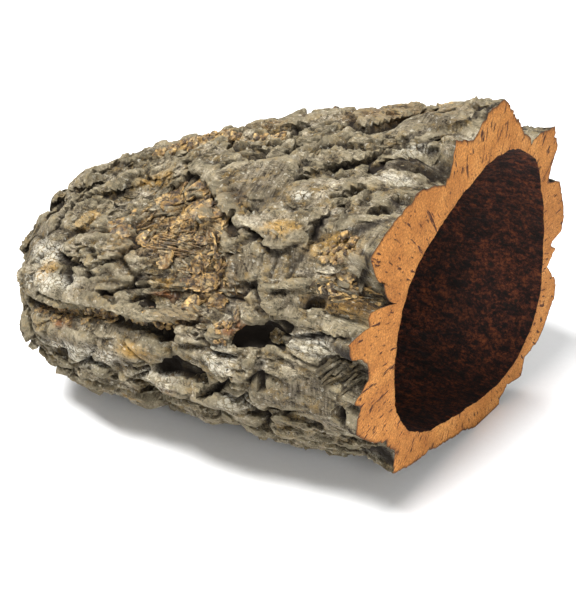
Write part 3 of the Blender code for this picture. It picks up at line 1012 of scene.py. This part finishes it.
def wall_material(colours):
    """The limb's side of the bark: dark red-brown, coarse and granular, with black and orange specks."""
    material, add, shader, place = new_material("inner_cork_wall")
    along = add("Mapping", {"Vector": place, "Scale": (0.7, 1, 1)})
    grain = add("TexNoise", {"Vector": along, "Scale": per(4), "Detail": 8.0, "Roughness": 0.8})
    drift = add("TexNoise", {"Vector": place, "Scale": per(26), "Detail": 4.0})
    shade = add("ValToRGB", {"Fac": drift}, ramp=((0.35, 0.35), (0.65, 1.0)))
    coarse = add("TexNoise", {"Vector": place, "Scale": per(1.6), "Detail": 3.0, "Roughness": 0.7})
    grit = add("ValToRGB", {"Fac": coarse}, ramp=((0.38, 0.05), (0.62, 0.9)))
    specks = add("TexVoronoi", {"Vector": place, "Scale": per(6)}, "Distance", feature="F1")
    speck = add("ValToRGB", {"Fac": specks}, ramp=((0.1, 1.0), (0.2, 0.0)))
    tones = ((0.43, colours.wall_dark), (0.5, colours.wall), (0.6, colours.wall_light))
    colour = painted(
        add,
        add("ValToRGB", {"Fac": grain}, ramp=tones),
        (0.8, shade, "MULTIPLY"),
        (0.9, grit, "OVERLAY"),
        (speck, colours.crevice, "MIX"),
    )
    finished(add, shader, colour, grain, strength=0.9, depth=1.2, roughness=0.8, specular=0.35)
    return material


def amber_material(colours):
    """Freshly broken cork: golden brown thin flakes, paler on their edges, with spots of painted shade that
    stand for their folds.
    """
    material, add, shader, place = new_material("broken_amber_cork")
    edge = add("Attribute", output="Fac", attribute_name="edge")
    tone = add("TexNoise", {"Vector": place, "Scale": per(7), "Detail": 5.0, "Roughness": 0.7})
    rub = add("TexNoise", {"Vector": place, "Scale": per(2.6), "Detail": 4.0, "Roughness": 0.7})
    fold_shade_spots = add("ValToRGB", {"Fac": rub}, ramp=((0.47, 0.0), (0.58, 0.85)))
    grain = add("TexNoise", {"Vector": place, "Scale": per(1.1), "Detail": 3.0})
    fine = add("ValToRGB", {"Fac": grain}, ramp=((0.3, 0.3), (0.7, 0.65)))
    tones = (
        (0.36, colours.amber_dark),
        (0.47, colours.amber),
        (0.55, colours.bark_middle),
        (0.68, colours.amber_light),
    )
    colour = painted(
        add,
        add("ValToRGB", {"Fac": tone}, ramp=tones),
        ((edge, 0.6), colours.amber_light, "MIX"),
        # painted shade in spots laid by noise, standing for the folds between flakes
        (fold_shade_spots, colours.amber_dark, "MIX"),
        (0.8, fine, "OVERLAY"),
    )
    finished(add, shader, colour, rub, strength=0.8, depth=1.6, roughness=0.7)
    return material


def floor_material():
    """Matt white paper with a faint tooth, as under a product photograph."""
    material, add, shader, place = new_material("white_backdrop_paper")
    tooth = add("TexNoise", {"Vector": place, "Scale": per(2.5), "Detail": 2.0})
    colour = add("ValToRGB", {"Fac": tooth}, ramp=((0.0, 0.9), (1.0, 0.94)))
    material.node_tree.links.new(colour, shader.inputs["Base Color"])
    shader.inputs["Roughness"].default_value = 0.9
    return material


# Pieces

def add_object(name, mesh, materials):
    """Puts a finished mesh into the scene with its materials."""
    for material in materials:
        mesh.materials.append(material)
    piece = bpy.data.objects.new(name, mesh)
    bpy.context.scene.collection.objects.link(piece)
    return piece


def wall_profile(bm):
    """A closed loop round the wall in the XZ plane: the inside on one ring and the outside on another."""
    faces = np.linspace(INNER_RING, OUTER_RING, FACE_ROWS + 1)[:-1]
    loop = [(-HALF, ring) for ring in faces]
    loop += [(along, OUTER_RING) for along in np.linspace(-HALF, HALF, OUTSIDE_ROWS + 1)[:-1]]
    loop += [(HALF, OUTER_RING + INNER_RING - ring) for ring in faces]
    loop += [(along, INNER_RING) for along in np.linspace(HALF, -HALF, INSIDE_ROWS + 1)[:-1]]
    verts = [bm.verts.new((along, 0.0, ring)) for along, ring in loop]
    edges = [bm.edges.new(pair) for pair in zip(verts, verts[1:] + verts[:1])]
    return verts + edges


BARK_STARTS = FACE_ROWS
MOUTH_STARTS = BARK_STARTS + OUTSIDE_ROWS
WALL_STARTS = MOUTH_STARTS + FACE_ROWS
PROFILE = WALL_STARTS + INSIDE_ROWS
# Rows this close to an end, as a share of the length, lie on it
AT_END = 1e-4
# The map's bands from the far end's face round to the hollow: where one starts and how high it is
MAP_BANDS = ((0.0, 0.06), (0.07, 0.56), (0.64, 0.12), (0.77, 0.22))


def places_on_profile(bm):
    """For each vertex of the plain turned tube, its column round it and its place on the wall's profile."""
    co = np.array([vert.co for vert in bm.verts])
    column = np.rint(np.arctan2(co[:, 2], co[:, 1]) % math.tau / math.tau * AROUND).astype(int) % AROUND
    ring = np.hypot(co[:, 1], co[:, 2])
    across = np.rint((ring - INNER_RING) * FACE_ROWS).astype(int)
    row = (co[:, 0] + HALF) / LENGTH
    walk = np.where(across > 0, across, 0)
    outer = across == FACE_ROWS
    walk = np.where(outer, BARK_STARTS + np.rint(row * OUTSIDE_ROWS), walk)
    at_mouth = (row > 1 - AT_END) & ~outer
    walk = np.where(at_mouth, MOUTH_STARTS + FACE_ROWS - across, walk)
    inner = (across == 0) & (row > AT_END) & ~at_mouth
    walk = np.where(inner, WALL_STARTS + np.rint((1 - row) * INSIDE_ROWS), walk)
    return column, walk.astype(int)


def map_body(mesh, column, walk):
    """Lays the body's faces out in bands on its own map, one band for each side of the wall."""
    corners = np.empty(len(mesh.loops), int)
    mesh.loops.foreach_get("vertex_index", corners)
    corners = corners.reshape(-1, 4)
    turn = column[corners]
    wraps = (turn.max(axis=1) - turn.min(axis=1) > AROUND / 2)[:, None]
    turn = np.where(wraps & (turn < AROUND / 2), turn + AROUND, turn) / AROUND
    step = walk[corners]
    wraps = (step.max(axis=1) - step.min(axis=1) > PROFILE / 2)[:, None]
    step = np.where(wraps & (step < PROFILE / 2), step + PROFILE, step)
    starts = np.array((0, BARK_STARTS, MOUTH_STARTS, WALL_STARTS, PROFILE))
    band = np.searchsorted(starts, step.mean(axis=1), side="right") - 1
    low, high = np.array(MAP_BANDS).T
    share = (step - starts[band][:, None]) / (starts[band + 1] - starts[band])[:, None]
    level = low[band][:, None] + share * high[band][:, None]
    layer = mesh.uv_layers.new(name="OFBake")
    layer.data.foreach_set("uv", np.stack((turn, level), axis=-1).astype(np.float32).ravel())
    mesh.polygons.foreach_set("material_index", np.array((0, 0, 1, 2))[band].astype(np.int32))


def store(mesh, name, values, kind="FLOAT"):
    """Keeps a value for each of the mesh's points, for its material."""
    field = "vector" if kind == "FLOAT_VECTOR" else "value"
    layer = mesh.attributes.new(name, kind, "POINT")
    layer.data.foreach_set(field, np.asarray(values, np.float32).ravel())


def build_body(context):
    """The whole tube: a turned ring of the wall's profile, with every vertex moved to its place."""
    colours = context.scene.cork_colours
    bm = bmesh.new()
    bmesh.ops.spin(
        bm,
        geom=wall_profile(bm),
        cent=(0, 0, 0),
        axis=(1, 0, 0),
        angle=math.tau,
        steps=AROUND,
        use_merge=True,
    )
    column, walk = places_on_profile(bm)
    outer, marks = bark_surface()
    inner = hollow_surface()
    bark_row = np.clip(walk - BARK_STARTS, 0, OUTSIDE_ROWS)
    wall_row = np.clip(walk - WALL_STARTS, 0, INSIDE_ROWS)
    wall_row = np.where(walk < BARK_STARTS, INSIDE_ROWS, wall_row)
    wall_row = np.where((walk >= BARK_STARTS) & (walk < MOUTH_STARTS), 0, wall_row)
    share = np.select(
        (walk < BARK_STARTS, walk <= MOUTH_STARTS, walk < WALL_STARTS),
        (walk / FACE_ROWS, np.ones(len(walk)), 1 - (walk - MOUTH_STARTS) / FACE_ROWS),
        0.0,
    )
    outside = outer[bark_row, column]
    inside = inner[wall_row, column]
    points = inside + (outside - inside) * share[:, None]
    on_face = (share > 0) & (share < 1)
    thick = np.linalg.norm(outside - inside, axis=1)
    far = on_face & (walk < BARK_STARTS)
    worn = FAR_FACE_HIGH * (1 + layers(points, *FAR_FACE_GRAIN, 3))
    points[:, 0] += np.where(far, worn * np.sin(np.pi * share), 0.0)
    for vert, point in zip(bm.verts, (points * MM).tolist()):
        vert.co = point
    bmesh.ops.recalc_face_normals(bm, faces=bm.faces)
    mesh = bpy.data.meshes.new("cork_bark_body")
    bm.to_mesh(mesh)
    bm.free()

    bark = (walk >= BARK_STARTS) & (walk <= MOUTH_STARTS)
    for kind, grid in marks.items():
        store(mesh, kind, np.where(bark, grid[bark_row, column], 0.0))
    angle = column * math.tau / AROUND
    depth = np.where(bark & (walk < MOUTH_STARTS), points[:, 0], share * thick)
    growth = np.stack((GROWTH_RADIUS * np.cos(angle), GROWTH_RADIUS * np.sin(angle), depth), axis=-1) * MM
    store(mesh, "growth", growth, "FLOAT_VECTOR")
    store(mesh, "skin", (1 - share) * thick / SKIN)
    map_body(mesh, column, walk)
    materials = (bark_material(colours), sawn_material(colours), wall_material(colours))
    body = add_object("cork_bark_body", mesh, materials)
    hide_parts("cork_bark_tube")
    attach(body, "root")


def sheet_shape(rng, long, wide, thick, curl):
    """A thin ragged sheet of bark, curled across, with its corners drawn in and its outline jagged."""
    bm = bmesh.new()
    bmesh.ops.create_grid(bm, x_segments=6, y_segments=4, size=1.0)
    for vert in bm.verts:
        u, v = vert.co.x, vert.co.y
        pull = 1 - SHEET_CORNERS * (u * v) ** 2
        jag = rng.uniform(-JAG, JAG, 3)
        lift = 0.5 * curl * wide * (v * v - 0.4) + 0.2 * curl * long * u * v + jag[2] * thick
        vert.co = ((u * pull + jag[0]) * long / 2, (v * pull + 1.4 * jag[1]) * wide / 2, lift)
    bmesh.ops.solidify(bm, geom=bm.faces[:], thickness=thick)
    bmesh.ops.recalc_face_normals(bm, faces=bm.faces)
    return bm


def crumb_shape(rng, long, wide, thick, _curl):
    """A crumb: a block with its corners pulled in and its faces broken."""
    bm = bmesh.new()
    bmesh.ops.create_cube(bm, size=1.0)
    bmesh.ops.subdivide_edges(bm, edges=bm.edges[:], cuts=1, use_grid_fill=True)
    size = Vector((long, wide, thick)).length
    for vert in bm.verts:
        round_in = CRUMB_ROUND / max(vert.co.length, 0.4)
        jag = Vector(rng.uniform(-JAG, JAG, 3))
        vert.co = (vert.co * round_in + jag) * size / 1.7
    return bm


def strand_shape(rng, long, wide, thick, curl):
    """A fibre: a thin tapered rod with a slow wave in it."""
    bm = bmesh.new()
    bmesh.ops.create_cone(
        bm, cap_ends=True, segments=5, radius1=thick / 2, radius2=thick / 5, depth=long,
        matrix=Matrix.Rotation(math.radians(90), 4, "Y"),
    )
    lengthwise = [edge for edge in bm.edges if abs(edge.verts[0].co.x - edge.verts[1].co.x) > long / 2]
    bmesh.ops.subdivide_edges(bm, edges=lengthwise, cuts=9)
    phase = rng.uniform(0, 50)
    for vert in bm.verts:
        wave = noise.noise_vector((vert.co.x / STRAND_WAVE + phase, phase, 0))
        vert.co += Vector((0, wave.y * curl * wide, wave.z * curl * thick))
    return bm


def slat_shape(rng, long, wide, thick, curl):
    """A splinter: a flat slat with broken ends."""
    bm = bmesh.new()
    bmesh.ops.create_cube(bm, size=1.0)
    lengthwise = [edge for edge in bm.edges if abs(edge.verts[0].co.x - edge.verts[1].co.x) > 0.5]
    bmesh.ops.subdivide_edges(bm, edges=lengthwise, cuts=4)
    for vert in bm.verts:
        x, y, z = vert.co
        jag = rng.uniform(-SLAT_JAG, SLAT_JAG, 3)
        bend = curl * math.cos(x * 3) * thick
        vert.co = ((x + 0.4 * jag[0]) * long, (y + jag[1]) * wide, (z + jag[2]) * thick + bend)
    return bm


def shape_set(maker, rng, count, long, wide, thick, curl):
    """Several shapes of one kind, as meshes, with sizes drawn between the limits given."""
    shapes = []
    for _ in range(count):
        bm = maker(rng, *(rng.uniform(*limits) for limits in (long, wide, thick, curl)))
        mesh = bpy.data.meshes.new("shape")
        bm.to_mesh(mesh)
        bm.free()
        shapes.append(mesh)
    return shapes


SPOT_FIELDS = ("along", "degrees", "turn", "roll", "pitch", "rise", "size")


def turned(points, axis, degrees):
    """Points turned about one of their own axes, each by its own angle."""
    cosine, sine = np.cos(np.radians(degrees)), np.sin(np.radians(degrees))
    first, second = (axis + 1) % 3, (axis + 2) % 3
    result = points.copy()
    result[:, first] = cosine * points[:, first] - sine * points[:, second]
    result[:, second] = sine * points[:, first] + cosine * points[:, second]
    return result


def lay_on_bark(name, shapes, spots, material, rng, shade=0.0):
    """Joins many small shapes into one piece, each laid on the bark at its own spot, and all darkened by one
    amount of painted shade.
    """
    bm = bmesh.new()
    owners = []
    for index, pick in enumerate(rng.integers(len(shapes), size=len(spots))):
        bm.from_mesh(shapes[pick])
        owners += [index] * (len(bm.verts) - len(owners))
    local = np.array([vert.co for vert in bm.verts])
    spot = dict(zip(SPOT_FIELDS, spots[owners].T))
    rim = np.abs(local[:, 1])
    local = local * spot["size"][:, None]
    for axis, field in ((0, "roll"), (1, "pitch"), (2, "turn")):
        local = turned(local, axis, spot[field])
    half_width, half_height, _, _ = through(SECTIONS, spot["along"])
    girth = np.radians(1) * (half_width + half_height) / 2
    points, normals = bark_at(spot["along"] + local[:, 0], spot["degrees"] + local[:, 1] / girth)
    points = points + normals * (local[:, 2] + spot["rise"])[:, None]
    points = np.clip(points, CAD_LOW, CAD_HIGH)
    points[:, 0] = np.minimum(points[:, 0], HALF - SAW_CLEARANCE)
    for vert, point in zip(bm.verts, (points * MM).tolist()):
        vert.co = point
    bmesh.ops.recalc_face_normals(bm, faces=bm.faces)
    mesh = bpy.data.meshes.new(name)
    bm.to_mesh(mesh)
    bm.free()
    for shape in shapes:
        bpy.data.meshes.remove(shape)
    # one painted shade over the whole piece
    store(mesh, "cavity_shade", np.full(len(rim), shade))
    store(mesh, "edge", np.clip(1.4 * rim / rim.max() - 0.3, 0, 1))
    piece = add_object(name, mesh, [material])
    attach(piece, "root")


def spread(rng, cluster):
    """Spots strewn over one cluster."""
    count, along, degrees, half_long, half_wide, turn, roll, pitch, rise, size = cluster
    reach = np.sqrt(rng.uniform(0, 1, count))
    bearing = rng.uniform(0, math.tau, count)
    columns = [along + half_long * reach * np.cos(bearing), degrees + half_wide * reach * np.sin(bearing)]
    columns += [rng.uniform(low, high, count) for low, high in (turn, roll, pitch, rise, size)]
    return np.stack(columns, axis=1)


def strewn(rng, clusters):
    """Spots strewn over several clusters."""
    return np.concatenate([spread(rng, cluster) for cluster in clusters])


def add_scales(context):
    """Thin weathered scales all over the bark, each lifting along its lower edge."""
    sizes = context.scene.cork_sizes
    rng = np.random.default_rng(SCALE_SEED)
    length = sizes.scale_length / MM
    long = (0.5 * length, 1.25 * length)
    wide = (0.25 * length, 0.55 * length)
    shapes = shape_set(sheet_shape, rng, 28, long, wide, thick=(0.7, 1.3), curl=(0.02, 0.16))
    count = sizes.scale_count
    along = rng.uniform(*SCALES_ALONG, count)
    degrees = rng.uniform(0, 360, count)
    down = np.where(np.abs(turn_between(degrees, 180)) < 90, 1, -1)
    columns = [along, degrees, rng.normal(0, 18, count), down * rng.uniform(2, 15, count)]
    columns += [rng.uniform(low, high, count) for low, high in ((-5, 5), (-0.5, 0.3), (0.5, 1.15))]
    spots = np.stack(columns, axis=1)

    # few scales are left on the smooth plates, and none where it rests
    _, marks = bark_surface()
    row = np.rint((along + HALF) / LENGTH * OUTSIDE_ROWS).astype(int)
    smooth = marks["smooth"][row, (degrees / 360 * AROUND).astype(int) % AROUND]
    under = np.abs(turn_between(degrees, REST_ANGLE)) < REST_BARE
    spots = spots[(smooth < rng.uniform(0.1, 1.2, count)) & ~under]
    lay_on_bark("weathered_scales", shapes, spots, bark_material(context.scene.cork_colours), rng)


def add_amber(context):
    """Curled amber flakes where the bark is torn open."""
    rng = np.random.default_rng(AMBER_SEED)
    shapes = shape_set(sheet_shape, rng, 18, long=(7, 12), wide=(5.5, 9), thick=(0.5, 0.9), curl=(0.12, 0.5))
    material = amber_material(context.scene.cork_colours)
    lay_on_bark("amber_flakes", shapes, strewn(rng, AMBER_CLUSTERS), material, rng)


def add_crumbs(context):
    """Ochre crumbs in the furrows and along the broken ledges."""
    rng = np.random.default_rng(CRUMB_SEED)
    shapes = shape_set(crumb_shape, rng, 14, long=(1.6, 3.4), wide=(1.2, 2.4), thick=(1.0, 2.0), curl=(0, 0))
    material = amber_material(context.scene.cork_colours)
    lay_on_bark("ochre_crumbs", shapes, strewn(rng, CRUMB_CLUSTERS), material, rng)


def add_strands(context):
    """Golden fibres drawn out of the torn bark."""
    rng = np.random.default_rng(STRAND_SEED)
    wave = (0.6, 1.2)
    shapes = shape_set(strand_shape, rng, 10, long=(14, 24), wide=(0.5, 1.2), thick=(0.8, 1.4), curl=wave)
    material = amber_material(context.scene.cork_colours)
    lay_on_bark("golden_strands", shapes, strewn(rng, STRAND_CLUSTERS), material, rng)


def add_slats(context):
    """Splintered slats in the pocket by the mouth and in the notch above it."""
    rng = np.random.default_rng(SLAT_SEED)
    shapes = shape_set(slat_shape, rng, 8, long=(8, 14), wide=(1.1, 2.0), thick=(0.6, 1.1), curl=(0.0, 0.6))
    material = bark_material(context.scene.cork_colours)
    lay_on_bark("splintered_slats", shapes, strewn(rng, SLAT_CLUSTERS), material, rng, SLAT_SHADE)


def add_softbox(scene, name, place, size, power, aim):
    """A square soft light that points at a place."""
    light = bpy.data.lights.new(name, "AREA")
    light.size = size
    light.energy = power
    lamp = bpy.data.objects.new(name, light)
    lamp.location = place
    lamp.rotation_euler = (Vector(aim) - Vector(place)).to_track_quat("-Z", "Y").to_euler()
    scene.collection.objects.link(lamp)


def add_camera(scene):
    """The photograph's camera."""
    forward = Vector(CAMERA_FORWARD)
    right = Vector(CAMERA_RIGHT)
    turn = Matrix((right, right.cross(forward), -forward)).transposed().to_4x4()
    data = bpy.data.cameras.new("photo_camera")
    data.lens = CAMERA_LENS
    data.clip_start = CAMERA_NEAR
    camera = bpy.data.objects.new("photo_camera", data)
    camera.matrix_world = Matrix.Translation(CAMERA_AT) @ turn
    scene.collection.objects.link(camera)
    scene.camera = camera


def add_stage(context):
    """The paper floor, the studio's light and the photograph's camera."""
    bm = bmesh.new()
    bmesh.ops.create_grid(bm, x_segments=1, y_segments=1, size=FLOOR_REACH)
    mesh = bpy.data.meshes.new("floor")
    bm.to_mesh(mesh)
    bm.free()
    add_object("floor", mesh, [floor_material()])

    scene = context.scene
    world = bpy.data.worlds.new("studio")
    world.use_nodes = True
    background = world.node_tree.nodes["Background"]
    background.inputs["Color"].default_value = grey(1.0)
    background.inputs["Strength"].default_value = SKY_STRENGTH
    scene.world = world
    scene.view_settings.view_transform = "Standard"
    for softbox in SOFTBOXES:
        add_softbox(scene, *softbox)
    add_camera(scene)


# The add-on

def colour_property(name, description, code):
    """A colour that the user can change, from its sRGB hex code."""
    return bpy.props.FloatVectorProperty(
        name=name, description=description, subtype="COLOR", size=4, min=0.0, max=1.0, default=linear(code)
    )


class CorkColours(bpy.types.PropertyGroup):
    """Colours of the bark, the sawn mouth and the hollow"""

    bark_light: colour_property("Light bark", "Palest grey of the weathered bark", "#8b8170")
    bark_middle: colour_property("Bark", "Middle grey of the weathered bark", "#655b48")
    bark_dark: colour_property("Dark bark", "Darkest grey of the weathered bark", "#3a3020")
    bark_green: colour_property("Green tint", "Tint that algae give the bark", "#7b7459")
    plate_pale: colour_property("Smooth plates", "Pale fibres of the smooth plates", "#b0a892")
    ochre: colour_property("Ochre", "Layers that broke off lately", "#a07c3c")
    ochre_dull: colour_property("Dull ochre", "Older broken layers", "#7a6234")
    brown: colour_property("Brown crest", "Brown fibres along the top", "#5f4426")
    rust: colour_property("Rust", "Red-brown cork round the holes", "#6f3f18")
    amber_light: colour_property("Light amber", "Edges of the broken amber flakes", "#bb9757")
    amber: colour_property("Amber", "Broken amber flakes", "#63471f")
    # dark amber tone, and also painted shade standing for the folds between amber flakes
    amber_dark: colour_property("Dark amber", "Folds between the amber flakes", "#1a0f06")
    crust: colour_property("Crust", "Pale lichen crusts", "#c6c1b1")
    edge: colour_property("Worn edges", "Edges of the bark's layers", "#a1967a")
    # also the painted shade in the bark's hollows, under its steps and on the slats
    crevice: colour_property("Crevices", "Bottoms of cracks and holes", "#1b140c")
    sawn_light: colour_property("Light sawn cork", "Palest sawn cork", "#c68b49")
    sawn: colour_property("Sawn cork", "Middle tone of the sawn cork", "#b67838")
    sawn_dark: colour_property("Dark sawn cork", "Darker growth of the sawn cork", "#9c6128")
    lenticel: colour_property("Lenticels", "Brown channels in the sawn cork", "#4a240d")
    wall_light: colour_property("Light inner wall", "Orange specks of the inner wall", "#6c371b")
    wall: colour_property("Inner wall", "Red-brown of the inner wall", "#401d11")
    wall_dark: colour_property("Dark inner wall", "Darkest grains of the inner wall", "#150906")


class CorkSizes(bpy.types.PropertyGroup):
    """How many weathered scales there are, and how long"""

    scale_count: bpy.props.IntProperty(
        name="Scales", description="How many weathered scales lie on the bark", default=560, min=0, max=1500
    )
    scale_length: bpy.props.FloatProperty(
        name="Scale length", description="Usual length of a weathered scale", default=15 * MM, unit="LENGTH"
    )


class CORK_OT_body(bpy.types.Operator):
    """Builds the whole bark tube with its sawn mouth and its hollow"""

    bl_idname = "cork.body"
    bl_label = "Bark body"

    def execute(self, context):
        build_body(context)
        return {"FINISHED"}


class CORK_OT_scales(bpy.types.Operator):
    """Lays thin weathered scales over the bark"""

    bl_idname = "cork.scales"
    bl_label = "Weathered scales"

    def execute(self, context):
        add_scales(context)
        return {"FINISHED"}


class CORK_OT_amber(bpy.types.Operator):
    """Lays curled amber flakes where the bark is torn open"""

    bl_idname = "cork.amber"
    bl_label = "Amber flakes"

    def execute(self, context):
        add_amber(context)
        return {"FINISHED"}


class CORK_OT_crumbs(bpy.types.Operator):
    """Strews ochre crumbs in the furrows"""

    bl_idname = "cork.crumbs"
    bl_label = "Ochre crumbs"

    def execute(self, context):
        add_crumbs(context)
        return {"FINISHED"}


class CORK_OT_strands(bpy.types.Operator):
    """Draws golden fibres out of the torn bark"""

    bl_idname = "cork.strands"
    bl_label = "Golden strands"

    def execute(self, context):
        add_strands(context)
        return {"FINISHED"}


class CORK_OT_slats(bpy.types.Operator):
    """Adds the splintered slats by the mouth"""

    bl_idname = "cork.slats"
    bl_label = "Splintered slats"

    def execute(self, context):
        add_slats(context)
        return {"FINISHED"}


class CORK_OT_stage(bpy.types.Operator):
    """Adds the floor, the soft lights and the camera"""

    bl_idname = "cork.stage"
    bl_label = "Stage"

    def execute(self, context):
        add_stage(context)
        return {"FINISHED"}


OPERATORS = (
    CORK_OT_body,
    CORK_OT_scales,
    CORK_OT_amber,
    CORK_OT_crumbs,
    CORK_OT_strands,
    CORK_OT_slats,
    CORK_OT_stage,
)


class CORK_PT_panel(bpy.types.Panel):
    """Lists the tube's pieces in the sidebar"""

    bl_label = "Cork bark"
    bl_idname = "CORK_PT_panel"
    bl_space_type = "VIEW_3D"
    bl_region_type = "UI"
    bl_category = "Cork bark"

    def draw(self, context):
        for operator in OPERATORS:
            self.layout.operator(operator.bl_idname)
        for group in (context.scene.cork_sizes, context.scene.cork_colours):
            for name in group.__annotations__:
                self.layout.prop(group, name)


CLASSES = (CorkColours, CorkSizes) + OPERATORS + (CORK_PT_panel,)


def register():
    """Makes the add-on's classes and settings known."""
    for item in CLASSES:
        bpy.utils.register_class(item)
    bpy.types.Scene.cork_colours = bpy.props.PointerProperty(type=CorkColours)
    bpy.types.Scene.cork_sizes = bpy.props.PointerProperty(type=CorkSizes)


def unregister():
    """Takes the add-on's classes and settings away again."""
    del bpy.types.Scene.cork_sizes
    del bpy.types.Scene.cork_colours
    for item in reversed(CLASSES):
        bpy.utils.unregister_class(item)


def main():
    """Builds every piece and the stage."""
    register()
    bpy.ops.cork.body()
    bpy.ops.cork.scales()
    bpy.ops.cork.amber()
    bpy.ops.cork.crumbs()
    bpy.ops.cork.strands()
    bpy.ops.cork.slats()
    bpy.ops.cork.stage()


if __name__ == "__main__":
    main()
